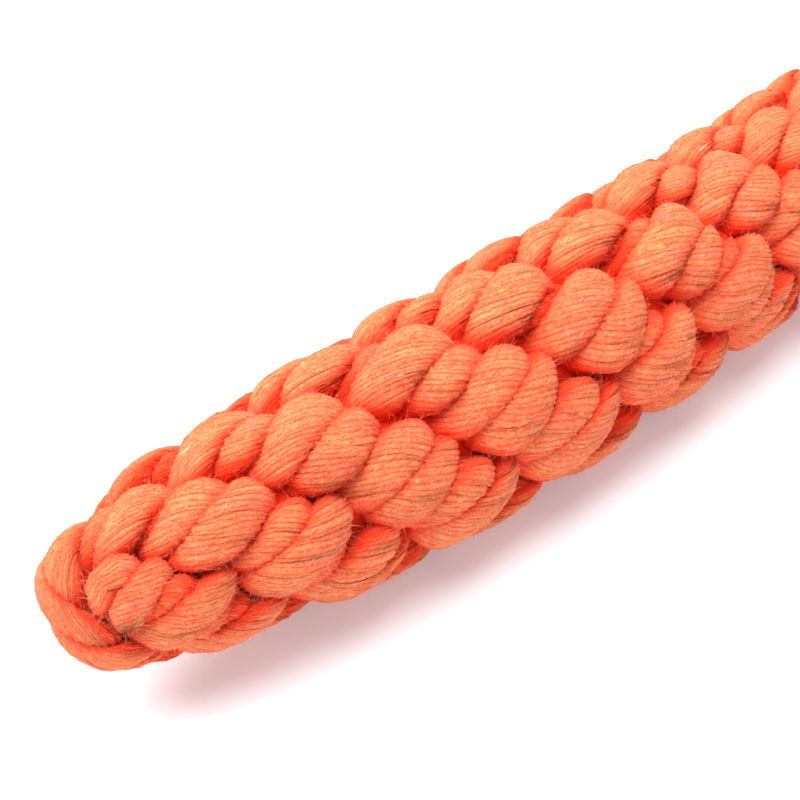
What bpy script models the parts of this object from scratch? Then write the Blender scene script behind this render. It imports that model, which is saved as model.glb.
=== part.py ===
"""A plaited cotton rope stick: two ropes crossed at a blunt tip and plaited into a round, tapering body.

Metres, +Z up.  The stick lies along X with its blunt tip at low X and its whipped neck and tassel at high X.
Four strands leave the tip, a quarter turn apart.  In every layer each strand swings out into a raised bight,
dives inside its neighbour and comes out again further round the stick.
"""

import bpy
import numpy as np

MM = 0.001

# The plaited body, in millimetres.
GIRTH = 38.6             # the plait's size where it is full grown; bights stand a little outside it
TAPER = 50.0             # length over which it grows
TAPER_START = -16.0      # where it would shrink to nothing, from the tip
LAYERS = 18              # layers between the first bights and the last ones
LAYER_MIDDLE = 120.0     # where the layers are longest, from the tip
LAYER_REACH = 183.0      # how far from there they would shrink to nothing
LAYER_RATE = 0.0663      # length of the longest layer, as a share of that reach
FIRST_BIGHT_AT = 6.2     # distance of the first layer's bights from the tip
BOW = 3.2                # how far the stick bends sideways
BOW_LENGTH = 170.0       # length of one bend, before it bends back
TURN = np.radians(129.6)     # how far round a strand gets in one layer
FIRST_ANGLE = np.radians(136.2)  # where the first strand leaves the tip, from +Y towards +Z

# One strand's course through a layer, as shares of the girth, radians and layers.
RADIUS = (0.284, 0.122, 0.003, -0.008)
SWAY = (np.radians(-18.6), np.radians(1.0), np.radians(0.66))
SURGE = (0.477, -0.051)

# The rope.
ROPE_WIDTH = 0.370       # widest a bight spreads, as a share of the plait's size
ROPE_DEPTH = 0.290       # its thickness outwards, as the same share
INNER_SHARE = 0.62       # how much of that width is left where the rope dives inside
GAP = 0.75               # clearance kept between ropes
OWN_SHARE = 0.85         # how much of the way to its own fold a rope may grow
NEAR = 40.0              # rope further off than this can't press on a cross-section
SAME = 1.5               # and rope nearer than this is the same stretch of the same rope
SIDES = 8
RINGS = 460              # cross-sections along one whole rope
TASSEL_SHARE = 0.5       # how closely they stand in the straight end, against the plait

# The tip, where rope A crosses over rope B.
POLE_A = 3.2             # centre of rope A at the pole
POLE_B = 8.0             # centre of rope B under it
TIP_MIDDLE = 13.0        # centre of the rounded tip

# The gathered end.
NECK_NARROWS = 200.0     # where the ropes begin to take the neck's size
NECK_START = 216.0       # where the four ropes run side by side
NECK_RADIUS = 5.3        # distance of each rope's centre from the axis there
NECK_ROPE = 7.0          # diameter of a rope in the neck
TASSEL_END = 256.0
TASSEL_SPREAD = 3.0      # how far the cut ends stand outwards

# The twine round the neck.
TWINE = 1.7
TWINE_TURNS = 8
TWINE_START = 217.0
TWINE_GAP = 0.3          # between one turn and the next
TWINE_RADIUS = 9.95
TWINE_POINTS = 18        # points to a turn

ROPE_A_COLOUR = (0.87, 0.19, 0.06)
ROPE_B_COLOUR = (0.85, 0.18, 0.06)
TWINE_COLOUR = (0.80, 0.16, 0.05)
COTTON_ROUGHNESS = 0.9


def clear_scene():
    for obj in list(bpy.data.objects):
        bpy.data.objects.remove(obj, do_unlink=True)


def girth(x):
    """Size of the plait at a distance from the tip."""
    return GIRTH * np.tanh((x - TAPER_START) / TAPER)


def rope_girth(x):
    """What the rope's size is a share of: it shrinks towards the tip, but less than the plait does."""
    return GIRTH**0.4 * girth(np.clip(x, FIRST_BIGHT_AT, NECK_START)) ** 0.6


def layer_to_x(layer):
    """Distance from the tip of a layer: they are shorter near the tip."""
    start = np.arctanh((FIRST_BIGHT_AT - LAYER_MIDDLE) / LAYER_REACH)
    return LAYER_MIDDLE + LAYER_REACH * np.tanh(LAYER_RATE * layer + start)


def bowed(points):
    """The points moved sideways by the stick's slight bow."""
    moved = points.copy()
    moved[..., 1] -= BOW * np.sin(np.pi * points[..., 0] / BOW_LENGTH)
    return moved


def plaited(u):
    """x, radius and turn of a strand after u layers, in millimetres and radians."""
    t = 2 * np.pi * u
    x = layer_to_x(u + SURGE[0] * np.sin(t) + SURGE[1] * np.sin(2 * t))
    share = sum(c * np.cos(n * t) for n, c in enumerate(RADIUS))
    turn = TURN * u + sum(c * np.sin((n + 1) * t) for n, c in enumerate(SWAY))
    return x, girth(x) * share, turn


def smooth(t):
    return t * t * (3 - 2 * t)


def gathered(t):
    """x, radius and turn from the last bight, at t = 0, through the neck to the cut end, at t = 1."""
    x0, r0, turn0 = plaited(float(LAYERS))
    x = x0 + (TASSEL_END - x0) * t
    inwards = smooth(np.clip((x - x0) / (NECK_START - x0), 0, 1))
    neck_end = TWINE_START + TWINE * TWINE_TURNS
    outwards = smooth(np.clip((x - neck_end) / (TASSEL_END - neck_end), 0, 1))
    radius = r0 + (NECK_RADIUS - r0) * inwards + TASSEL_SPREAD * outwards
    return x, radius, np.full_like(x, turn0)


def on_axis_frame(x, radius, turn):
    return np.stack([x, radius * np.cos(turn), radius * np.sin(turn)], axis=1)


def leg(angle, pole, count):
    """A strand from the pole of the tip down to its first bight."""
    x0, r0, _ = plaited(0.0)
    a = np.linspace(0, np.pi / 2, count)
    return on_axis_frame(x0 - (x0 - pole) * np.cos(a), r0 * np.sin(a), np.full(count, angle))


def strand(angle, pole):
    """Centre line of one strand from the pole to its cut end, and how far it bulges along it, 0 to 1."""
    start = leg(angle, pole, 24)[:-1]
    u = np.linspace(0, LAYERS, LAYERS * 48 + 1)
    x, radius, turn = plaited(u)
    body = on_axis_frame(x, radius, angle + turn)
    x, radius, turn = gathered(np.linspace(0, 1, 90)[1:])
    end = on_axis_frame(x, radius, angle + turn)
    body_bulge = 0.5 + 0.5 * np.cos(2 * np.pi * u)
    bulge = np.concatenate([np.linspace(0.3, 1, len(start)), body_bulge, np.linspace(1, 0.4, len(end))])
    return np.concatenate([start, body, end]), bulge


def rope_line(angle, pole):
    """A whole rope: one strand backwards to the pole, then on along the strand across from it."""
    first, bulge_a = strand(angle, pole)
    second, bulge_b = strand(angle + np.pi, pole)
    return np.concatenate([first[:0:-1], second]), np.concatenate([bulge_a[:0:-1], bulge_b])


def spaced(line, values, count):
    """The line and its values at steps that grow with the rope, and are longer in the straight tassel."""
    step = np.linalg.norm(np.diff(line, axis=0), axis=1)
    middle_x = (line[1:, 0] + line[:-1, 0]) / 2
    step = step / rope_girth(middle_x)
    step = step * np.where(middle_x > NECK_START, TASSEL_SHARE, 1.0)
    length = np.concatenate([[0], np.cumsum(step)])
    at = np.linspace(0, length[-1], count)
    points = np.stack([np.interp(at, length, line[:, k]) for k in range(3)], axis=1)
    return points, np.interp(at, length, values)


def unit(vectors):
    return vectors / np.linalg.norm(vectors, axis=1, keepdims=True)


def outward_of(points):
    """Directions away from the stick's axis, or away from the middle of the blunt tip."""
    middle = points.copy()
    middle[:, 0] = np.maximum(points[:, 0], TIP_MIDDLE)
    middle[:, 1:] = 0
    return unit(points - middle)


def rope_size(points, bulge):
    """Half depth and half width of the rope at each ring, before it is pressed by its neighbours."""
    across = rope_girth(points[:, 0])
    share = INNER_SHARE + (1 - INNER_SHARE) * bulge
    neck = smooth(np.clip((points[:, 0] - NECK_NARROWS) / (NECK_START - NECK_NARROWS), 0, 1))
    depth = 0.5 * ROPE_DEPTH * across * (1 - neck) + 0.5 * NECK_ROPE * neck
    width = 0.5 * ROPE_WIDTH * across * share * (1 - neck) + 0.5 * NECK_ROPE * neck
    return depth, width


def free_reach(point, direction, others, own):
    """How far a rope can grow from its centre line before it meets another rope, or its own fold."""
    reach = np.inf
    for lines, share in ((others, 1.0), (own, OWN_SHARE)):
        away = lines - point
        towards = away @ direction
        ahead = towards > 1e-3
        limit = (away[ahead] ** 2).sum(axis=1) / (2 * towards[ahead])
        if len(limit):
            reach = min(reach, share * limit.min())
    return reach - GAP / 2


def rope_rings(line, bulge, other_line):
    """Cross-sections of one rope: ovals flattened wherever the ropes press on each other."""
    points, bulge = spaced(line, bulge, RINGS)
    ahead = unit(np.gradient(points, axis=0))
    outward = outward_of(points)
    outward = unit(outward - (outward * ahead).sum(axis=1, keepdims=True) * ahead)
    sideways = np.cross(ahead, outward)
    depth, width = rope_size(points, bulge)
    rings = np.empty((RINGS, SIDES, 3))
    for i in range(RINGS):
        others = other_line[np.linalg.norm(other_line - points[i], axis=1) < NEAR]
        away = np.linalg.norm(line - points[i], axis=1)
        own = line[(away < NEAR) & (away > SAME)]
        for j in range(SIDES):
            a = 2 * np.pi * (j + 0.5) / SIDES
            spoke = np.cos(a) * depth[i] * outward[i] + np.sin(a) * width[i] * sideways[i]
            size = np.linalg.norm(spoke)
            spoke = spoke / size
            rings[i, j] = points[i] + spoke * min(size, free_reach(points[i], spoke, others, own))
    return bowed(rings)


def tube_mesh(name, rings):
    """A closed tube through the rings, with a flat face on each end."""
    count, sides = rings.shape[:2]
    faces = []
    for i in range(count - 1):
        for j in range(sides):
            k = (j + 1) % sides
            faces.append((i * sides + j, i * sides + k, (i + 1) * sides + k, (i + 1) * sides + j))
    faces.append(tuple(range(sides - 1, -1, -1)))
    faces.append(tuple((count - 1) * sides + j for j in range(sides)))
    mesh = bpy.data.meshes.new(name)
    mesh.from_pydata((rings.reshape(-1, 3) * MM).tolist(), [], faces)
    mesh.update()
    mesh.shade_smooth()
    return mesh


def twine_curve():
    """The whipping: one length of twine wound side by side round the neck."""
    curve = bpy.data.curves.new("whipping_twine", "CURVE")
    curve.dimensions = "3D"
    curve.bevel_depth = TWINE / 2 * MM
    curve.bevel_resolution = 1
    curve.use_fill_caps = True
    count = TWINE_POINTS * TWINE_TURNS + 1
    spline = curve.splines.new("POLY")
    spline.points.add(count - 1)
    for i, point in enumerate(spline.points):
        a = 2 * np.pi * TWINE_TURNS * i / (count - 1)
        x = TWINE_START + (TWINE + TWINE_GAP) * TWINE_TURNS * i / (count - 1)
        y = TWINE_RADIUS * np.cos(a)
        z = TWINE_RADIUS * np.sin(a)
        point.co = (*bowed(np.array([x, y, z])) * MM, 1)
    return curve


def material(name, colour, roughness):
    made = bpy.data.materials.new(name)
    made.use_nodes = True
    shader = made.node_tree.nodes["Principled BSDF"]
    shader.inputs["Base Color"].default_value = (*colour, 1)
    shader.inputs["Roughness"].default_value = roughness
    return made


def add_piece(collection, name, data, colour):
    piece = bpy.data.objects.new(name, data)
    data.materials.append(material(name, colour, COTTON_ROUGHNESS))
    collection.objects.link(piece)
    return piece


def build():
    clear_scene()
    collection = bpy.data.collections.new("plaited_rope_stick")
    bpy.context.scene.collection.children.link(collection)
    line_a, bulge_a = rope_line(FIRST_ANGLE + np.pi / 2, POLE_A)
    line_b, bulge_b = rope_line(FIRST_ANGLE, POLE_B)
    rope_a = tube_mesh("rope_a", rope_rings(line_a, bulge_a, line_b))
    rope_b = tube_mesh("rope_b", rope_rings(line_b, bulge_b, line_a))
    pieces = [
        add_piece(collection, "rope_a", rope_a, ROPE_A_COLOUR),
        add_piece(collection, "rope_b", rope_b, ROPE_B_COLOUR),
        add_piece(collection, "whipping_twine", twine_curve(), TWINE_COLOUR),
    ]
    place_on_floor(pieces)


def place_on_floor(pieces):
    """Moves the stick so that it is centred over the origin and rests on z = 0."""
    bpy.context.view_layer.update()
    corners = []
    for piece in pieces:
        corners += [piece.matrix_world @ vertex.co for vertex in piece.to_mesh().vertices]
        piece.to_mesh_clear()
    low = np.min(corners, axis=0)
    high = np.max(corners, axis=0)
    for piece in pieces:
        piece.location = (-(low[0] + high[0]) / 2, -(low[1] + high[1]) / 2, -low[2])


build()
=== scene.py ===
"""The looks of a plaited cotton rope stick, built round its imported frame.

Two three-ply ropes cross at a blunt tip and are plaited into a round, tapering body. Every ply
is a mesh of its own, ridged by its yarns and pressed flat where it lies on another. Lengths are
in millimetres until a mesh is made, and x runs from the tip along the stick.
"""

import math

import bpy
import numpy as np
from mathutils import Matrix, Vector


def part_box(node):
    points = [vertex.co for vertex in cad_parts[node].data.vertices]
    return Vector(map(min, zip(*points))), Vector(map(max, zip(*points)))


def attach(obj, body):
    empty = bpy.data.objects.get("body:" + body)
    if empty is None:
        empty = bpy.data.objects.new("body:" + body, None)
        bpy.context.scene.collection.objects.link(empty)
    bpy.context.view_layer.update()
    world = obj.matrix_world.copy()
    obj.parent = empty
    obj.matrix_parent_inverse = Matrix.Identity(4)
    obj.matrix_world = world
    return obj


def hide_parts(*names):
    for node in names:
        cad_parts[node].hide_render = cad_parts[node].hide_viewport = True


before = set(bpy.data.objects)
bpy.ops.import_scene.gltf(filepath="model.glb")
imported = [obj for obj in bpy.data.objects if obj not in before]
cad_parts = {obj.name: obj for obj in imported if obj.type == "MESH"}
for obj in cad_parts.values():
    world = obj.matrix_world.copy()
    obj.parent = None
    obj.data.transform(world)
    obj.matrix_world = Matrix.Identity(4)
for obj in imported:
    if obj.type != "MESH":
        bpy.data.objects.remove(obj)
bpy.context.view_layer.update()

MM = 0.001

# The plaited body. Shares are of its girth.
GIRTH = 38.6             # what the girth grows towards, away from the tip
TAPER = 50.0             # how slowly it grows
TAPER_START = -16.0      # where it would be nothing
LAYERS = 18              # layers of the plait
LAYER_MIDDLE = 120.0     # where the layers are longest
LAYER_REACH = 183.0      # the furthest from there that layers could go
LAYER_RATE = 0.0663      # how fast they get there
FIRST_BIGHT_AT = 6.2
BOW = 3.2                # how far the stick bows sideways
BOW_LENGTH = 170.0
TURN = math.radians(129.6)               # of a strand round the stick in each layer
FIRST_ANGLE = math.radians(136.2)
RADIUS = (0.284, 0.122, 0.003, -0.008)   # a strand's way in and out in each layer, as cosines
SWAY = (math.radians(-18.6), math.radians(1.0), math.radians(0.66))   # and round, as sines
SURGE = (0.477, -0.051)                  # and along, as sines, in layers
ENVELOPE = 0.573         # outside of the bights, as a share
TIP_SWELL = 0.14         # how much further out it lies at the tip
TIP_LENGTH = 35.0        # how far along the stick that is felt
FLATNESS = 14            # how sharply the bights' crowns stop at the envelope
CORE = 0.375             # radius of the inside that shows at the bottom of the pits, as a share

# The tip and the gathered end.
POLE_A = 3.2             # where rope A's centre line crosses the middle line
POLE_B = 8.0             # and rope B's, under it
TIP_MIDDLE = 13.0        # centre of the rounded tip
LEG_POINTS = 40
LAYER_POINTS = 64
END_POINTS = 120
LEG_BULGE = 0.7          # the bulge of a leg where it starts at the tip
END_BULGE = 0.4          # and of a strand at its cut end
NECK_NARROWS = 200.0     # where the ropes start to change to their thickness in the neck
NECK_START = 216.0
NECK_RADIUS = 5.3        # of the strands' centres
NECK_ROPE = 7.0          # thickness of a rope there
TASSEL_END = 256.0
TASSEL_SPREAD = 3.0      # how much further out the cut ends stand than the neck's strands
TASSEL_YARN = 0.42       # radius of a loose yarn
TASSEL_TIP = 0.12        # and at its end
TASSEL_YARNS = 30        # loose yarns to a ply
TASSEL_POINTS = 14       # along each of them
TASSEL_SPLAY = 0.5       # how much further apart they are at the end
TASSEL_DRIFT = 1.3       # how far one strays by its end
TASSEL_WAVE = 0.12       # how wavy it is
TASSEL_LONGER = (-2.5, 2.0)              # how much longer or shorter than the rest it may be
TASSEL_FILL = 0.92       # how far out in the ply the outermost one starts, in ply radii
LET_GO = 3.0             # how far before the plies' end the loose yarns start
PLIES_END = 244.0        # where the plies stop and their yarns go on, loose
TWINE = 1.7              # its thickness
TWINE_TURNS = 8
TWINE_START = 217.0
TWINE_PITCH = 2.0
TWINE_MIDDLE = TWINE_START + TWINE_PITCH * TWINE_TURNS / 2
TWINE_RADIUS = 9.95      # of the coil, to the twine's centre
TWINE_STRANDS = 3
TWINE_LAY = 0.62         # how far along the coil its strands turn by one radian
TWINE_OFFSET = 0.24      # a strand's centre from the twine's, in thicknesses
TWINE_STRAND = 0.27      # radius of a strand, in thicknesses
TWINE_TIP = 0.1          # and at its two ends, in millimetres
TWINE_TURN_POINTS = 90

# The rope. Sizes are shares of the plait's girth.
ROPE = 0.222             # thickness of the plain rope
BULGE_WIDTH = 0.92       # how much wider a bight is than the plain rope
BULGE_DEPTH = 0.24       # and how much deeper
PLIES = 3
PLY_OFFSET = 0.33        # a ply's centre from the rope's, in rope radii
PLY_RADIUS = 0.86        # in rope radii
LAY = 0.95               # length of one turn of the plies
YARN_UNTWIST = 0.66      # how fast the yarns turn back against the plies
YARNS = 36               # yarns round a ply
YARN_VALLEY = 0.050      # depth of the groove between yarns, as a share of the ply's radius
FINE_STEP = 1.35         # between rings on the raised bights
COARSE_STEP = 3.0        # and where the rope is hidden inside
FINE_SHARE = 1.6         # how soon a bulge gets the fine step
PLAIN_RINGS = 0.7        # rings to a step on a straight stretch
BEND_RINGS = 5.0         # how many more a bend gets
SHARP_BEND = 0.25        # the sharpest bend that counts, in 1/mm

# How plies press on each other.
OTHERS_EVERY = 2         # every second ring of the other plies is near enough
OWN_STRETCH = 3.5        # a ply doesn't press on itself nearer along its line than this
OWN_SHARE = 0.85         # how near a ply may come to its own fold
NEAR_SQUARE = 150        # square of the distance at which presses end
LEAST_TOWARDS = 0.02     # keeps a limit finite beside a ply
FREE = 50                # the limit of a spoke with nothing in its way
MOST_FREE = 2.5          # the highest limit, as a share of a spoke's own reach
PRESS_OVERLAP = 1.07     # how far pressed plies sink into each other
PRESS_SHARPNESS = 9
TIGHT = (0.55, 0.5)      # the share of a spoke's limit at which the painted shade of creases starts, and the extent
DEEP = (0.09, 0.17)      # how far inside the painted shade of the depths starts, and the extent
CREASE_PAINTED_SHADE = 0.9       # how strong the painted shade of a crease can get: the saturated red of light bounced in it
CREASE_POWER = 1.5

# Unevenness: an amount, and the wave it changes over.
UNEVEN = (0.35, 14.0)            # of a rope's course
DEPTH_UNEVEN = (0.04, 9.0)       # of its depth
WIDTH_UNEVEN = (0.06, 9.0)       # and of its width
YARN_UNEVEN = (0.40, 2.6)        # of where each yarn lies, in half yarns
BUNDLE_UNEVEN = (0.07, 5.0)      # of where the bundles of yarns lie, in radians
BUNDLES = 7
SWELL_UNEVEN = (0.016, 6.0)      # of how far out the surface lies, as a share of the ply's radius
NUB_UNEVEN = (0.008, 1.2)        # and of the small nubs on it
GROOVE_UNEVEN = (0.5, 3.0)       # of the depth of the grooves between yarns
GROOVE_RANGE = (0.1, 1.4)        # the least and the most that they may come to

# Thin tubes.
NEARLY_ALONG_X = 0.9     # a tube that points along x more than this gets its rings from z

# Stray fibres.
FUZZ_FIBRES = 25000      # on each rope
FUZZ_RADIUS = 0.021
FUZZ_THIN = 0.5          # how much of that a fibre keeps at its tip
FUZZ_DEPTH = 0.15        # they grow no deeper inside than this, as a share of the girth
FUZZ_RISE = (0.2, 1.2)   # how steeply they stand up
FUZZ_LEAN = (0.2, 1.0)   # how far they lean along their yarn
FUZZ_STRAY = 0.4         # how far they point away from both
FUZZ_LENGTH = 1.0        # of a usual fibre
FUZZ_UNEVEN = 0.45       # how much lengths differ
FUZZ_LONGEST = 2.6
FUZZ_ROOT = 0.10         # how deep they start
FUZZ_CLEAR = 0.1         # how high above the floor their tips stay

# The inside.
CORE_SIDES = 120
CORE_STEP = 2.5          # between rings
CORE_END = NECK_START - 12
CORE_LAY = 0.02          # how fast its yarns turn, in radians to a millimetre
CORE_VALLEY = 0.02       # depth of the groove between them, as a share of the radius

# Colours.
ORANGE = (0.83, 0.132, 0.048, 1)
LIGHT_ORANGE = (0.87, 0.240, 0.096, 1)
YELLOW_TINT = (0.93, 0.29, 0.095, 1)
PINK_TINT = (0.90, 0.165, 0.120, 1)
# Painted light and shade of the fibres and nap: the pale colours go on raised fibres, the dark ones between
# them.
PALE_FIBRE = (0.95, 0.37, 0.19, 1)
DARK_FIBRE = (0.76, 0.070, 0.025, 1)
PALE_NAP = (0.97, 0.42, 0.22, 1)
DARK_NAP = (0.78, 0.078, 0.027, 1)
# Painted shade: the saturated red that bounced light takes on in the grooves between yarns and in deep
# creases and pits.
GROOVE_PAINTED_SHADE = (0.84, 0.070, 0.024, 1)
DEEP_PAINTED_SHADE = (0.98, 0.050, 0.015, 1)
YELLOW_FLECK = (0.90, 0.42, 0.09, 1)
PINK_FLECK = (0.92, 0.22, 0.22, 1)
PALE_FLECK = (0.97, 0.62, 0.48, 1)
STRAY_FIBRE = (0.95, 0.34, 0.19, 1)
SHEEN_TINT = (1.0, 0.72, 0.55, 1)
FLOOR_COLOUR = (0.81, 0.92, 0.97, 1)
FLOOR_GLOW = (0.94, 0.95, 1.0, 1)

# Noise on the cotton. Pairs are scales round the yarns and along them.
NAP_SCALE = 3400         # of the fine nap, to a metre
FIBRE_SLANT = (2.2, 1.5)         # how the fibres slant across a yarn
FIBRE_DRAWN = (0.5, 0.7)         # scales along and round, on top of the slant
FIBRE_SCALE = 1.6
SHADE_SCALES = (3.7, 0.10)       # of the difference between one yarn and the next
TINT_SCALES = (0.25, 0.16)       # of the patches of dye
LINE_SCALES = (1.9, 1.6)         # of where the painted shade lines between yarns show
FLECK_SCALES = (0.80, 0.50)
FLECK_KIND_SCALES = (0.2, 0.05)  # of the change from one kind of fleck to another
YARN_ROUNDNESS = 2.5     # higher is a flatter yarn with a steeper edge
YARN_HEIGHT = 0.35       # in the bump, against the fibres
NAP_HEIGHT = 0.6         # and the nap's
BUMP = 0.00030           # depth of the whole bump, in metres

# Camera and studio, in metres and degrees.
SENSOR = 36              # in millimetres
LENS = 72                # in millimetres
CAMERA_OFFSET = (-0.0842, -0.1440, 0.1424)
CAMERA_TURN = (56.44, 0, -46.24)
WORLD_STRENGTH = 0.42
KEY_PLACE = (-0.22, 0.16, 0.80)
KEY_SIZE = 1.2
KEY_POWER = 20
KEY_COLOUR = (1, 0.99, 0.98)
FLOOR_SIZE = 6
FLOOR_GLOW_STRENGTH = 0.27

# Seeds of the random draws.
ROPE_SEED = 4
PLY_SEED = 7
PLY_SEED_STEP = 10       # from one rope to the other
FUZZ_SEED = 70


def smooth(t):
    """An even start and stop between 0 and 1."""
    return t * t * (3 - 2 * t)


def unit(vectors):
    """The same directions with length 1."""
    return vectors / np.linalg.norm(vectors, axis=-1, keepdims=True)


def girth(x):
    """The girth of the plaited body, which tapers towards the tip."""
    return GIRTH * np.tanh((x - TAPER_START) / TAPER)


def rope_girth(x):
    """The girth that the rope follows: it gets thinner towards the tip more slowly than the body."""
    return GIRTH**0.4 * girth(np.clip(x, FIRST_BIGHT_AT, NECK_START)) ** 0.6


def layer_to_x(layer):
    """The place of a layer along the stick: layers are shorter towards both ends."""
    start = math.atanh((FIRST_BIGHT_AT - LAYER_MIDDLE) / LAYER_REACH)
    return LAYER_MIDDLE + LAYER_REACH * np.tanh(LAYER_RATE * layer + start)


def bowed(points):
    """Points moved sideways, as the stick bows."""
    moved = points.copy()
    moved[..., 1] -= BOW * np.sin(np.pi * points[..., 0] / BOW_LENGTH)
    return moved


def plaited(u):
    """Place along the stick, distance from its middle line and turn of a strand after u layers."""
    t = 2 * np.pi * u
    x = layer_to_x(u + SURGE[0] * np.sin(t) + SURGE[1] * np.sin(2 * t))
    share = sum(c * np.cos(n * t) for n, c in enumerate(RADIUS))
    turn = TURN * u + sum(c * np.sin((n + 1) * t) for n, c in enumerate(SWAY))
    return x, girth(x) * share, turn


def gathered(t):
    """The same for the end that runs straight through the neck to the tassel."""
    x0, r0, turn0 = plaited(float(LAYERS))
    x = x0 + (TASSEL_END - x0) * t
    inwards = smooth(ramp(x, x0, NECK_START - x0))
    neck_end = TWINE_START + TWINE * TWINE_TURNS
    outwards = smooth(ramp(x, neck_end, TASSEL_END - neck_end))
    radius = r0 + (NECK_RADIUS - r0) * inwards + TASSEL_SPREAD * outwards
    return x, radius, np.full_like(x, turn0)


def placed(x, radius, turn):
    """Points from their places along, out from and round the middle line."""
    return np.stack([x, radius * np.cos(turn), radius * np.sin(turn)], axis=1)


def leg(angle, pole, count):
    """A quarter arc from the tip to where the plait begins."""
    x0, r0, _ = plaited(0.0)
    a = np.linspace(0, np.pi / 2, count)
    return placed(x0 - (x0 - pole) * np.cos(a), r0 * np.sin(a), np.full(count, angle))


def strand(angle, pole):
    """One strand's centre line from the tip to its cut end, and how raised it is, from 0 to 1."""
    start = leg(angle, pole, LEG_POINTS)[:-1]
    u = np.linspace(0, LAYERS, LAYERS * LAYER_POINTS + 1)
    x, radius, turn = plaited(u)
    body = placed(x, radius, angle + turn)
    x, radius, turn = gathered(np.linspace(0, 1, END_POINTS)[1:])
    end = placed(x, radius, angle + turn)
    leg_bulge = np.linspace(LEG_BULGE, 1, len(start))
    body_bulge = np.abs(np.cos(np.pi * u))
    end_bulge = np.linspace(1, END_BULGE, len(end))
    return np.concatenate([start, body, end]), np.concatenate([leg_bulge, body_bulge, end_bulge])


def line_length(line):
    """The length of a line up to each of its points."""
    return np.concatenate([[0], np.cumsum(np.linalg.norm(np.diff(line, axis=0), axis=1))])


def ring_places(line, length, bulge, coarser):
    """Where the rings go along a line: closer together on raised and bent stretches."""
    bend = np.linalg.norm(np.gradient(unit(np.gradient(line, length, axis=0)), length, axis=0), axis=1)
    spread = COARSE_STEP + (FINE_STEP - COARSE_STEP) * np.minimum(1, FINE_SHARE * bulge)
    rings_per_mm = (PLAIN_RINGS + BEND_RINGS * np.minimum(bend, SHARP_BEND)) / (coarser * spread)
    rings = np.concatenate([[0], np.cumsum(np.diff(length) * (rings_per_mm[1:] + rings_per_mm[:-1]) / 2)])
    return np.interp(np.linspace(0, rings[-1], int(rings[-1])), rings, length)


class Rope:
    """A rope's centre line with its directions, sizes and twist at every ring."""

    def __init__(self, angle, pole, coarser, rng):
        first, bulge_a = strand(angle, pole)
        second, bulge_b = strand(angle + np.pi, pole)
        line = np.concatenate([first[:0:-1], second])
        bulge = np.concatenate([bulge_a[:0:-1], bulge_b])
        length = line_length(line)
        at = ring_places(line, length, bulge, coarser)
        self.points = np.stack([np.interp(at, length, line[:, k]) for k in range(3)], axis=1)
        self.bulge = np.interp(at, length, bulge)
        self.length = at
        self.ahead = unit(np.gradient(self.points, at, axis=0))
        self.outward = self.find_outward()
        self.sideways = np.cross(self.ahead, self.outward)
        self.across = rope_girth(self.points[:, 0])
        self.depth, self.width = self.sizes()
        self.depth *= 1 + wander(rng, at, 1, *DEPTH_UNEVEN)[:, 0]
        self.width *= 1 + wander(rng, at, 1, *WIDTH_UNEVEN)[:, 0]
        self.points = self.points + smoothed_wander(rng, at, *UNEVEN)
        self.untwisted = self.transported()
        self.twist = 2 * np.pi * np.concatenate([[0], np.cumsum(np.diff(at) / (LAY * self.across[1:]))])

    def find_outward(self):
        """Directions away from the middle line, square to the rope."""
        middle = self.points.copy()
        middle[:, 0] = np.maximum(self.points[:, 0], TIP_MIDDLE)
        middle[:, 1:] = 0
        out = unit(self.points - middle)
        return unit(out - (out * self.ahead).sum(axis=1, keepdims=True) * self.ahead)

    def sizes(self):
        """The rope's half thickness outwards and sideways."""
        neck = neck_share(self.points[:, 0])
        plain = 0.5 * ROPE * self.across
        depth = plain * (1 + BULGE_DEPTH * self.bulge)
        width = plain * (1 + BULGE_WIDTH * self.bulge)
        slim = 0.5 * NECK_ROPE
        return depth * (1 - neck) + slim * neck, width * (1 - neck) + slim * neck

    def transported(self):
        """Angle, from outward towards sideways, of a direction carried along without twisting."""
        carried = np.empty_like(self.points)
        carried[0] = self.outward[0]
        for i in range(1, len(carried)):
            v = carried[i - 1] - self.ahead[i] * (carried[i - 1] @ self.ahead[i])
            carried[i] = v / np.linalg.norm(v)
        across = (carried * self.sideways).sum(axis=1)
        along = (carried * self.outward).sum(axis=1)
        return np.unwrap(np.arctan2(across, along))

    def offset(self, angle, share):
        """Vectors of that share of the rope's oval radius at that angle from outward."""
        out = (share * self.depth * np.cos(angle))[:, None] * self.outward
        return out + (share * self.width * np.sin(angle))[:, None] * self.sideways


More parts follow.
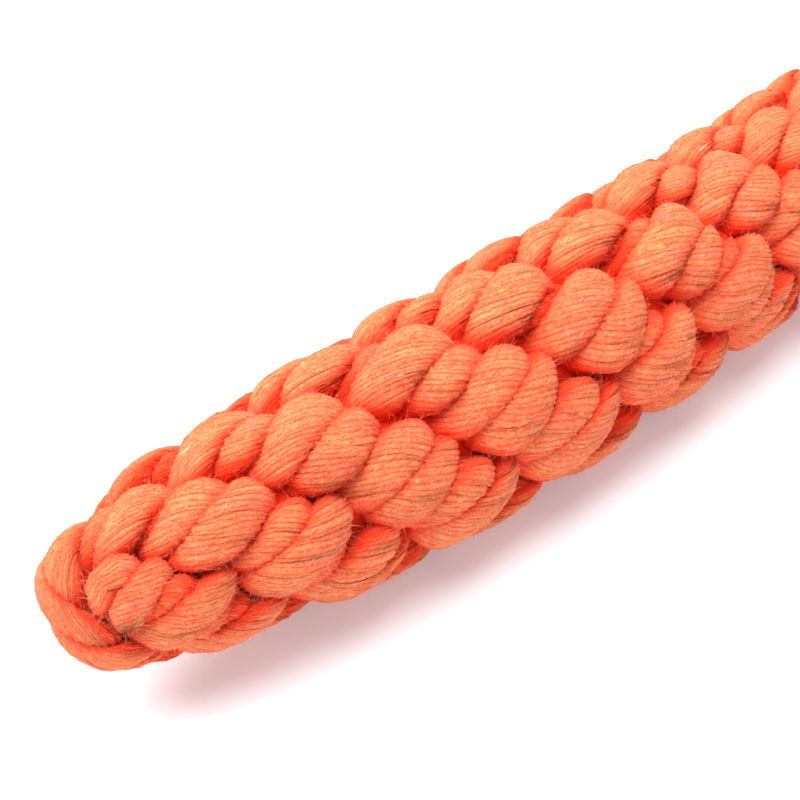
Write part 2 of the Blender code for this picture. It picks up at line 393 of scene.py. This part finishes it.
class Ply:
    """One ply of a rope: its centre line, and its rings as spokes from that line."""

    def __init__(self, rope, number, seed):
        rng = np.random.default_rng(seed)
        self.rope = rope
        self.length = rope.length
        turn = rope.untwisted + 2 * np.pi * number / PLIES - rope.twist
        self.centre = rope.points + rope.offset(turn, PLY_OFFSET)
        self.ahead = unit(np.gradient(self.centre, self.length, axis=0))
        self.sides = 2 * YARNS
        column = 2 * np.pi * np.arange(self.sides) / self.sides
        stray = np.repeat(wander(rng, self.length, YARNS, *YARN_UNEVEN), 2, axis=1) * 2 * np.pi / self.sides
        stray += bundled_wander(rng, self.length, self.sides, BUNDLES, *BUNDLE_UNEVEN)
        angle = (rope.untwisted + YARN_UNTWIST * rope.twist)[:, None] + column + stray
        spokes = np.stack([rope.offset(angle[:, j], PLY_RADIUS) for j in range(self.sides)], axis=1)
        ahead = self.ahead[:, None, :]
        spokes -= (spokes * ahead).sum(axis=2, keepdims=True) * ahead
        self.reach = np.linalg.norm(spokes, axis=2)
        self.spokes = spokes / self.reach[:, :, None]
        self.ridge = wander(rng, self.length, self.sides, *SWELL_UNEVEN)
        self.ridge += wander(rng, self.length, self.sides, *NUB_UNEVEN)
        groove = np.clip(1 + wander(rng, self.length, YARNS, *GROOVE_UNEVEN), *GROOVE_RANGE)
        self.ridge[:, 1::2] -= YARN_VALLEY * groove

    def free_reach(self, others):
        """How far each spoke gets before it crosses the middle plane between its ply and another."""
        free = np.empty_like(self.reach)
        for i, point in enumerate(self.centre):
            own = np.abs(self.length - self.length[i]) > OWN_STRETCH
            away = np.concatenate([others, self.centre[own]]) - point
            share = np.ones(len(away))
            share[len(others) :] = OWN_SHARE
            square = (away**2).sum(axis=1)
            near = square < NEAR_SQUARE
            towards = away[near] @ self.spokes[i].T
            limit = (share * square)[near, None] / (2 * np.maximum(towards, LEAST_TOWARDS))
            free[i] = limit.min(axis=0, initial=FREE)
        return np.exp(softened(np.log(np.minimum(free, MOST_FREE * self.reach))))

    def press(self, others, floor):
        """Makes the rings, with spokes softly shortened where another ply is in the way.

        The crowns of the bights are flattened too, and so is what would lie below the floor.
        """
        free = self.free_reach(others)
        # How tightly each spoke is pressed, for the painted shade of creases.
        self.tightness = ramp(self.reach / free, *TIGHT)
        power = -PRESS_SHARPNESS
        pressed = (self.reach**power + (PRESS_OVERLAP * free) ** power) ** (1 / power)
        crown = flattened(self.centre[:, None, :] + self.spokes * pressed[:, :, None])
        self.rings = crown + self.spokes * (pressed * self.ridge)[:, :, None]
        self.rings[:, :, 2] = np.maximum(self.rings[:, :, 2], floor)

    def depth_inside(self):
        """How far each ring point lies inside the stick's outline, as a share of its girth."""
        return ENVELOPE - from_middle(self.rings)[1]


def ramp(value, start, extent):
    """0 up to the start, then rising evenly to 1 over the extent."""
    return np.clip((value - start) / extent, 0, 1)


def flattened(points):
    """Points drawn in towards the middle line where they stand out past the stick's envelope."""
    middle, share = from_middle(points)
    near_tip = 1 - ramp(middle[:, :, 0], TIP_MIDDLE, TIP_LENGTH)
    flat = (1 + (share / (ENVELOPE + TIP_SWELL * near_tip)) ** FLATNESS) ** (-1 / FLATNESS)
    return middle + (points - middle) * flat[:, :, None]


def neck_share(x):
    """0 in the plaited body, 1 in the neck."""
    return smooth(ramp(x, NECK_NARROWS, NECK_START - NECK_NARROWS))


def from_middle(points):
    """The nearest points on the stick's middle line, and the distances to them as shares of the girth."""
    middle = np.zeros_like(points)
    middle[..., 0] = np.maximum(points[..., 0], TIP_MIDDLE)
    return middle, np.linalg.norm(points - middle, axis=-1) / girth(middle[..., 0])


def softened(values):
    """Values evened out a little along the rings and round them."""
    for shift in (1, 2, 1):
        values = (np.roll(values, shift, axis=1) + 2 * values + np.roll(values, -shift, axis=1)) / 4
    return smoothed(values)


def wander(rng, length, count, amount, wave):
    """Slow random change along the length, one column for each of count lines."""
    knots = int(length[-1] / wave) + 3
    values = rng.normal(0, amount, (knots, count))
    at = np.arange(knots) * wave
    return np.stack([np.interp(length, at, values[:, j]) for j in range(count)], axis=1)


def bundled_wander(rng, length, sides, bundles, amount, wave):
    """Slow random change along the length, shared by neighbouring columns as in bundled yarns."""
    bent = smoothed(wander(rng, length, bundles, amount, wave))
    place = np.arange(sides) * bundles / sides
    i = place.astype(int)
    t = smooth(place - i)
    return bent[:, i] * (1 - t) + bent[:, (i + 1) % bundles] * t


def smoothed(values):
    """Values evened out a little along the length."""
    for _ in range(2):
        padded = np.concatenate([values[:1], values, values[-1:]])
        values = (padded[:-2] + 2 * values + padded[2:]) / 4
    return values


def smoothed_wander(rng, length, amount, wave):
    """A slow random shift in all three directions."""
    knots = int(length[-1] / wave) + 3
    values = rng.normal(0, amount, (knots, 3))
    place = length / wave
    i = place.astype(int)
    t = smooth(place - i)[:, None]
    return values[i] * (1 - t) + values[i + 1] * t


def grid_quads(count, sides):
    """Corner indices of the quads of a tube, with the ring and column each starts at."""
    i = np.repeat(np.arange(count - 1), sides)
    j = np.tile(np.arange(sides), count - 1)
    k = (j + 1) % sides
    return np.stack([i * sides + j, i * sides + k, (i + 1) * sides + k, (i + 1) * sides + j], axis=1), i, j


def around_columns(j):
    """The columns at the four corners of each quad."""
    return np.stack([j, j + 1, j + 1, j], axis=1)


def along_rings(length, i):
    """The lengths at the four corners of each quad."""
    return np.stack([length[..., i], length[..., i], length[..., i + 1], length[..., i + 1]], axis=-1)


def quad_mesh(name, points, quads):
    """A smooth mesh in metres of points in millimetres."""
    mesh = bpy.data.meshes.new(name)
    mesh.vertices.add(len(points))
    mesh.vertices.foreach_set("co", (bowed(points) * MM).astype(np.float32).ravel())
    mesh.loops.add(quads.size)
    mesh.loops.foreach_set("vertex_index", quads.astype(np.int32).ravel())
    mesh.polygons.add(len(quads))
    mesh.polygons.foreach_set("loop_start", np.arange(0, quads.size, 4, dtype=np.int32))
    mesh.update(calc_edges=True)
    mesh.shade_smooth()
    return mesh


def add_yarn_places(mesh, around, along):
    """The UV map that the cotton reads: yarns counted along u, millimetres along v."""
    uv = mesh.uv_layers.new(name="yarn")
    uv.data.foreach_set("uv", np.stack([around, along], axis=-1).astype(np.float32).ravel())


def add_painted_shade(mesh, inside):
    """How deep or tightly pressed each point lies in the plait, from 0 to 1, which sets the cotton's
    painted shade, the saturated red of light bounced in depths and creases.
    """
    attribute = mesh.attributes.new("inside", "FLOAT", "POINT")
    attribute.data.foreach_set("value", inside.astype(np.float32).ravel())


def ply_mesh(name, ply):
    """A ply's tube, up to where its yarns go on loose."""
    keep = np.flatnonzero(ply.centre[:, 0] < PLIES_END)
    rings = ply.rings[keep]
    count, sides = rings.shape[:2]
    quads, i, j = grid_quads(count, sides)
    mesh = quad_mesh(name, rings.reshape(-1, 3), quads)
    add_yarn_places(mesh, around_columns(j) / 2, along_rings(ply.length[keep], i))
    # Painted shade: deep and tightly pressed places get the saturated red of bounced light.
    deep = ramp(ply.depth_inside()[keep], *DEEP) * (1 - neck_share(rings[:, :, 0]))
    crease = CREASE_PAINTED_SHADE * ply.tightness[keep] ** CREASE_POWER
    add_painted_shade(mesh, 1 - (1 - crease) * (1 - deep))
    return mesh


def tubes_mesh(name, paths, radii, sides, yarns):
    """Many thin tubes in one mesh, with one path of points and radii each."""
    tubes, count = paths.shape[:2]
    ahead = unit(np.gradient(paths, axis=1))
    helper = np.where(np.abs(ahead[:, :, :1]) < NEARLY_ALONG_X, (1.0, 0, 0), (0, 0, 1.0))
    aside = unit(np.cross(ahead, helper))
    above = np.cross(ahead, aside)
    angle = 2 * np.pi * np.arange(sides) / sides
    ring = aside[:, :, None] * np.cos(angle)[:, None] + above[:, :, None] * np.sin(angle)[:, None]
    points = paths[:, :, None] + ring * radii[:, :, None, None]
    one, i, j = grid_quads(count, sides)
    quads = (one[None] + (np.arange(tubes) * count * sides)[:, None, None]).reshape(-1, 4)
    mesh = quad_mesh(name, points.reshape(-1, 3), quads)
    steps = np.linalg.norm(np.diff(paths, axis=1), axis=2)
    length = np.concatenate([np.zeros((tubes, 1)), np.cumsum(steps, axis=1)], axis=1)
    first_yarn = 2.0 * yarns * np.arange(tubes)[:, None, None]
    add_yarn_places(mesh, around_columns(j) * yarns / sides + first_yarn, along_rings(length, i))
    return mesh


def fuzz_paths(plies, count, floor, rng):
    """Stray fibres that rise from the outer faces of the plies and lean along them."""
    roots = []
    for ply in plies:
        depth = ply.depth_inside()
        i, j = np.nonzero((depth < FUZZ_DEPTH) & (ply.centre[:, :1] < PLIES_END))
        chosen = rng.integers(len(i), size=count // len(plies))
        i, j = i[chosen], j[chosen]
        between = rng.uniform(0, 1, (len(i), 1))
        root = ply.rings[i, j] * (1 - between) + ply.rings[i + 1, j] * between
        roots.append(np.stack([root, ply.spokes[i, j], ply.ahead[i]], axis=1))
    root, normal, along = np.moveaxis(np.concatenate(roots), 1, 0)
    total = len(root)
    side = rng.choice([-1.0, 1.0], total)[:, None]
    rise = normal * rng.uniform(*FUZZ_RISE, (total, 1))
    lean = along * side * rng.uniform(*FUZZ_LEAN, (total, 1))
    length = rng.lognormal(math.log(FUZZ_LENGTH), FUZZ_UNEVEN, total)
    length = np.minimum(length, FUZZ_LONGEST)[:, None]
    tip = root + length * unit(rise + lean + rng.normal(0, FUZZ_STRAY, (total, 3)))
    paths = np.stack([root - FUZZ_ROOT * normal, tip], axis=1)
    paths = paths[paths[:, 1, 2] > floor + FUZZ_CLEAR]
    radii = FUZZ_RADIUS * np.repeat([[1.0, FUZZ_THIN]], len(paths), axis=0)
    return paths, radii


def tassel_paths(ply, rng):
    """The yarns of both ends of a ply, let go past the whipping and splaying a little."""
    paths = []
    golden = math.pi * (3 - math.sqrt(5))
    rope = ply.rope
    for end in (slice(None, None, 1), slice(None, None, -1)):
        rows = np.arange(len(ply.centre))[end]
        rows = rows[: int(np.argmax(ply.centre[rows, 0] < PLIES_END - LET_GO))][::-1]
        t = np.linspace(0, 1, TASSEL_POINTS)
        at = np.interp(t, np.linspace(0, 1, len(rows)), rows)
        row = at.astype(int)
        for k in range(TASSEL_YARNS):
            share = TASSEL_FILL * PLY_RADIUS * math.sqrt((k + 0.5) / TASSEL_YARNS)
            spoke = share * rope.depth[row, None] * (
                math.cos(k * golden) * rope.outward[row] + math.sin(k * golden) * rope.sideways[row]
            )
            drift = rng.normal(0, TASSEL_DRIFT, 3) * (t**2)[:, None]
            wave = rng.normal(0, TASSEL_WAVE, (len(t), 3)) * t[:, None]
            longer = np.array([1.0, 0, 0]) * (t**2)[:, None] * rng.uniform(*TASSEL_LONGER)
            splayed = spoke * (1 + TASSEL_SPLAY * t**2)[:, None]
            paths.append(ply.centre[row] + splayed + drift + wave + longer)
    paths = np.array(paths)
    radii = np.full(paths.shape[:2], TASSEL_YARN)
    radii[:, -1] = TASSEL_TIP
    return paths, radii


def core_mesh(name):
    """The inside of the plait, ridged like yarns, which only shows at the bottom of the pits, all of it in
    the cotton's painted shade.
    """
    x = np.arange(TIP_MIDDLE, CORE_END, CORE_STEP)
    column = np.arange(CORE_SIDES)
    angle = 2 * np.pi * column / CORE_SIDES + CORE_LAY * x[:, None]
    radius = (CORE * girth(x))[:, None] * (1 - CORE_VALLEY * (column % 2))
    rings = np.stack([x[:, None] + 0 * angle, radius * np.cos(angle), radius * np.sin(angle)], axis=2)
    quads, i, j = grid_quads(len(x), CORE_SIDES)
    mesh = quad_mesh(name, rings.reshape(-1, 3), quads)
    add_yarn_places(mesh, around_columns(j) / 2, along_rings(x, i))
    # Painted shade everywhere: the full saturated red of light bounced at the bottom of the pits.
    add_painted_shade(mesh, np.ones(rings.shape[:2]))
    return mesh


def twine_paths():
    """The three strands of the whipping twine, twisted together and wound round the neck."""
    t = np.linspace(0, 1, TWINE_TURNS * TWINE_TURN_POINTS)
    a = 2 * np.pi * TWINE_TURNS * t
    radial = np.stack([0 * a, np.cos(a), np.sin(a)], axis=1)
    core = TWINE_RADIUS * radial
    core[:, 0] = TWINE_START + TWINE_PITCH * TWINE_TURNS * t
    strands = []
    for k in range(TWINE_STRANDS):
        phase = TWINE_RADIUS * a / TWINE_LAY + 2 * np.pi * k / TWINE_STRANDS
        round_core = np.cos(phase)[:, None] * radial + np.sin(phase)[:, None] * (1.0, 0, 0)
        strands.append(core + TWINE_OFFSET * TWINE * round_core)
    radii = np.full((TWINE_STRANDS, len(t)), TWINE_STRAND * TWINE)
    radii[:, [0, -1]] = TWINE_TIP
    return np.array(strands), radii


def add_piece(name, mesh, shift, material, node):
    """A piece of the frame's node, which it replaces in the picture."""
    mesh.transform(Matrix.Translation(shift))
    mesh.materials.append(material)
    piece = bpy.data.objects.new(name, mesh)
    bpy.context.scene.collection.objects.link(piece)
    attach(piece, "root")
    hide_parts(node)


def set_principled(material, **values):
    """Sets the shader's inputs, named with _ for a space."""
    shader = material.node_tree.nodes["Principled BSDF"]
    for name, value in values.items():
        shader.inputs[name.replace("_", " ")].default_value = value


class Nodes:
    """Short calls for building a shader's nodes."""

    def __init__(self, material):
        material.use_nodes = True
        self.tree = material.node_tree
        self.shader = self.tree.nodes["Principled BSDF"]

    def link(self, value, socket):
        if isinstance(value, bpy.types.NodeSocket):
            self.tree.links.new(value, socket)
        else:
            socket.default_value = value

    def math(self, operation, *values):
        node = self.tree.nodes.new("ShaderNodeMath")
        node.operation = operation
        for value, socket in zip(values, node.inputs):
            self.link(value, socket)
        return node.outputs[0]

    def times(self, value, factor):
        return self.math("MULTIPLY", value, factor)

    def combine(self, x, y, z=0.0):
        node = self.tree.nodes.new("ShaderNodeCombineXYZ")
        for value, socket in zip((x, y, z), node.inputs):
            self.link(value, socket)
        return node.outputs[0]

    def noise(self, vector, scale, detail=2.0, roughness=0.5):
        node = self.tree.nodes.new("ShaderNodeTexNoise")
        self.link(vector, node.inputs["Vector"])
        node.inputs["Scale"].default_value = scale
        node.inputs["Detail"].default_value = detail
        node.inputs["Roughness"].default_value = roughness
        return node.outputs["Fac"]

    def spun(self, u, v, scales, offset=0.0, detail=1.0):
        """Noise by a scale round the yarns and one along, where another offset is another pattern."""
        place = self.combine(self.times(u, scales[0]), self.times(v, scales[1]), offset)
        return self.noise(place, 1.0, detail)

    def range(self, value, low, high, to_low=0.0, to_high=1.0):
        node = self.tree.nodes.new("ShaderNodeMapRange")
        for item, socket in zip((value, low, high, to_low, to_high), node.inputs):
            self.link(item, socket)
        return node.outputs[0]

    def mix(self, share, first, second):
        node = self.tree.nodes.new("ShaderNodeMix")
        node.data_type = "RGBA"
        self.link(share, node.inputs[0])
        self.link(first, node.inputs[6])
        self.link(second, node.inputs[7])
        return node.outputs[2]

    def yarn_place(self):
        node = self.tree.nodes.new("ShaderNodeUVMap")
        node.uv_map = "yarn"
        parts = self.tree.nodes.new("ShaderNodeSeparateXYZ")
        self.link(node.outputs[0], parts.inputs[0])
        return parts.outputs[0], parts.outputs[1]

    def place(self):
        return self.tree.nodes.new("ShaderNodeTexCoord").outputs["Object"]

    def value(self, name):
        node = self.tree.nodes.new("ShaderNodeAttribute")
        node.attribute_name = name
        return node.outputs["Fac"]

    def bump(self, height, distance):
        node = self.tree.nodes.new("ShaderNodeBump")
        self.link(height, node.inputs["Height"])
        node.inputs["Distance"].default_value = distance
        node.inputs["Strength"].default_value = 1.0
        self.link(node.outputs[0], self.shader.inputs["Normal"])


def add_cotton_bump(nodes, across, fibre, nap):
    """Round yarns, the fibres twisted into them and the nap on top."""
    crown = nodes.math("SUBTRACT", 1.0, nodes.math("POWER", across, YARN_ROUNDNESS))
    yarns = nodes.math("ADD", nodes.times(crown, YARN_HEIGHT), fibre)
    nodes.bump(nodes.math("ADD", yarns, nodes.times(nap, NAP_HEIGHT)), BUMP)


def fibre_noise(nodes, u, v):
    """Fine streaks that slant across each yarn, as its twisted fibres do."""
    slant = nodes.math("ADD", nodes.times(u, FIBRE_SLANT[0]), nodes.times(v, FIBRE_SLANT[1]))
    place = nodes.combine(slant, nodes.times(v, FIBRE_DRAWN[0]), nodes.times(u, FIBRE_DRAWN[1]))
    return nodes.noise(place, FIBRE_SCALE, 4.0, 0.65)


def yarn_colour(nodes, u, v, yarn):
    """Every yarn its own orange, with slow patches of yellower and pinker dye."""
    shade = nodes.spun(yarn, v, SHADE_SCALES)
    colour = nodes.mix(nodes.range(shade, 0.3, 0.7), ORANGE, LIGHT_ORANGE)
    tint = nodes.spun(u, v, TINT_SCALES, 5.0)
    colour = nodes.mix(nodes.range(tint, 0.52, 0.72, 0.0, 0.55), colour, YELLOW_TINT)
    return nodes.mix(nodes.range(tint, 0.46, 0.28, 0.0, 0.45), colour, PINK_TINT)


def fibre_painted_light_and_shade(nodes, colour, fibre, nap):
    """Painted light and shade on the fibres and nap: paler where they stand up in the bump, darker between
    them.
    """
    colour = nodes.mix(nodes.range(fibre, 0.48, 0.66, 0.0, 0.55), colour, PALE_FIBRE)
    colour = nodes.mix(nodes.range(fibre, 0.47, 0.33, 0.0, 0.70), colour, DARK_FIBRE)
    colour = nodes.mix(nodes.range(nap, 0.50, 0.68, 0.0, 0.50), colour, PALE_NAP)
    return nodes.mix(nodes.range(nap, 0.48, 0.32, 0.0, 0.60), colour, DARK_NAP)


def groove_painted_shade(nodes, colour, u, v, across):
    """Painted shade: red lines between the yarns, which show in some places and fade in others."""
    showing = nodes.spun(u, v, LINE_SCALES, detail=2.0)
    line = nodes.range(across, 0.50, 0.95)
    groove = nodes.math("MULTIPLY", line, nodes.range(showing, 0.36, 0.60, 0.15, 0.90))
    return nodes.mix(groove, colour, GROOVE_PAINTED_SHADE)


def flecked_colour(nodes, colour, u, v):
    """Flecks of yellow, pink and pale fibre."""
    fleck = nodes.spun(u, v, FLECK_SCALES)
    which = nodes.spun(u, v, FLECK_KIND_SCALES, 9.0, 0.0)
    fleck_colour = nodes.mix(nodes.range(which, 0.49, 0.51), YELLOW_FLECK, PINK_FLECK)
    fleck_colour = nodes.mix(nodes.range(which, 0.60, 0.61), fleck_colour, PALE_FLECK)
    return nodes.mix(nodes.range(fleck, 0.68, 0.76, 0.0, 0.7), colour, fleck_colour)


def cotton(name):
    """Cotton yarns side by side, with flecks of other colours spun in, and painted light and shade: paler
    on raised fibres, redder in the grooves, the creases and the depths.
    """
    material = bpy.data.materials.new(name)
    nodes = Nodes(material)
    u, v = nodes.yarn_place()
    yarn = nodes.math("ROUND", u)
    across = nodes.times(nodes.math("ABSOLUTE", nodes.math("SUBTRACT", u, yarn)), 2.0)
    fibre = fibre_noise(nodes, u, v)
    nap = nodes.noise(nodes.place(), NAP_SCALE, 2.0, 0.6)
    add_cotton_bump(nodes, across, fibre, nap)
    colour = yarn_colour(nodes, u, v, yarn)
    colour = fibre_painted_light_and_shade(nodes, colour, fibre, nap)
    colour = groove_painted_shade(nodes, colour, u, v, across)
    colour = flecked_colour(nodes, colour, u, v)
    # Painted shade: the saturated red of bounced light where the plait is deep or creased.
    colour = nodes.mix(nodes.value("inside"), colour, DEEP_PAINTED_SHADE)
    nodes.link(colour, nodes.shader.inputs["Base Color"])
    set_principled(
        material,
        Roughness=0.9,
        Specular_IOR_Level=0.05,
        Sheen_Weight=0.06,
        Sheen_Roughness=0.5,
        Sheen_Tint=SHEEN_TINT,
    )
    return material


def fuzz(name):
    """Loose fibres, paler than the yarns."""
    material = bpy.data.materials.new(name)
    material.use_nodes = True
    set_principled(material, Base_Color=STRAY_FIBRE, Roughness=1.0, Specular_IOR_Level=0.1)
    return material


def make_plies(coarser):
    """The plies of both ropes, by the names of their pieces."""
    rng = np.random.default_rng(ROPE_SEED)
    rope_a = Rope(FIRST_ANGLE + np.pi / 2, POLE_A, coarser, rng)
    rope_b = Rope(FIRST_ANGLE, POLE_B, coarser, rng)
    plies = {}
    for rope_number, (name, rope) in enumerate((("rope_a", rope_a), ("rope_b", rope_b))):
        for q in range(PLIES):
            plies[f"{name}_ply_{q + 1}"] = Ply(rope, q, PLY_SEED + q + PLY_SEED_STEP * rope_number)
    return plies


def add_plies(plies, shift, floor, material):
    """The plies, each pressed by all the others."""
    for name, ply in plies.items():
        others = [other.centre[::OTHERS_EVERY] for other in plies.values() if other is not ply]
        ply.press(np.concatenate(others), floor)
        add_piece(name, ply_mesh(name, ply), shift, material, name.split("_ply_")[0])


def add_loose_yarns(plies, shift, floor, coarser, material):
    """Each rope's stray fibres, and the loose yarns of its two cut ends."""
    rng = np.random.default_rng(FUZZ_SEED)
    stray = fuzz("fuzz")
    for rope in ("rope_a", "rope_b"):
        own = [ply for name, ply in plies.items() if name.startswith(rope)]
        paths, radii = fuzz_paths(own, FUZZ_FIBRES // coarser, floor, rng)
        fibres = tubes_mesh(f"{rope}_fuzz", paths, radii, sides=3, yarns=1)
        add_piece(f"{rope}_fuzz", fibres, shift, stray, rope)
        ends = [tassel_paths(ply, rng) for ply in own]
        paths, radii = (np.concatenate(items) for items in zip(*ends))
        tassel = tubes_mesh(f"{rope}_tassel", paths, radii, sides=6, yarns=3)
        add_piece(f"{rope}_tassel", tassel, shift, material, rope)


def make_stick():
    """Makes the whole stick, and returns how far it is moved to its place in the frame, in metres."""
    twine_middle = np.sum(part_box("whipping_twine"), axis=0) / 2
    shift = twine_middle - bowed(np.array([TWINE_MIDDLE, 0, 0])) * MM
    floor = -shift[2] / MM
    coarser = 1
    material = cotton("cotton")
    plies = make_plies(coarser)
    add_plies(plies, shift, floor, material)
    add_loose_yarns(plies, shift, floor, coarser, material)
    add_piece("rope_b_core", core_mesh("rope_b_core"), shift, material, "rope_b")
    twine = tubes_mesh("twine", *twine_paths(), sides=8, yarns=4)
    add_piece("twine", twine, shift, material, "whipping_twine")
    return shift


def make_camera(shift):
    """The camera, at the photograph's viewing angle."""
    data = bpy.data.cameras.new("camera")
    data.sensor_width = SENSOR
    data.lens = LENS
    data.clip_start = 0.01
    camera = bpy.data.objects.new("camera", data)
    bpy.context.scene.collection.objects.link(camera)
    camera.location = shift + np.array(CAMERA_OFFSET)
    camera.rotation_euler = [math.radians(angle) for angle in CAMERA_TURN]
    bpy.context.scene.camera = camera


def make_key_light():
    """One large soft light from above and behind, turned towards the middle of the floor."""
    data = bpy.data.lights.new("key", "AREA")
    data.shape = "DISK"
    data.size = KEY_SIZE
    data.energy = KEY_POWER
    data.color = KEY_COLOUR
    light = bpy.data.objects.new("key", data)
    bpy.context.scene.collection.objects.link(light)
    light.location = KEY_PLACE
    light.rotation_euler = Vector(KEY_PLACE).to_track_quat("Z", "Y").to_euler()


def make_studio():
    """An even white surrounding, the key light and a pale floor with a weak glow of its own."""
    scene = bpy.context.scene
    scene.view_settings.view_transform = "Standard"
    world = bpy.data.worlds.new("studio")
    scene.world = world
    world.use_nodes = True
    world.node_tree.nodes["Background"].inputs["Color"].default_value = (1, 1, 1, 1)
    world.node_tree.nodes["Background"].inputs["Strength"].default_value = WORLD_STRENGTH
    make_key_light()
    bpy.ops.mesh.primitive_plane_add(size=FLOOR_SIZE, location=(0, 0, 0))
    floor = bpy.context.object
    floor.name = "floor"
    material = bpy.data.materials.new("floor")
    material.use_nodes = True
    set_principled(
        material,
        Base_Color=FLOOR_COLOUR,
        Roughness=0.8,
        Emission_Color=FLOOR_GLOW,
        Emission_Strength=FLOOR_GLOW_STRENGTH,
    )
    floor.data.materials.append(material)


make_camera(make_stick())
make_studio()
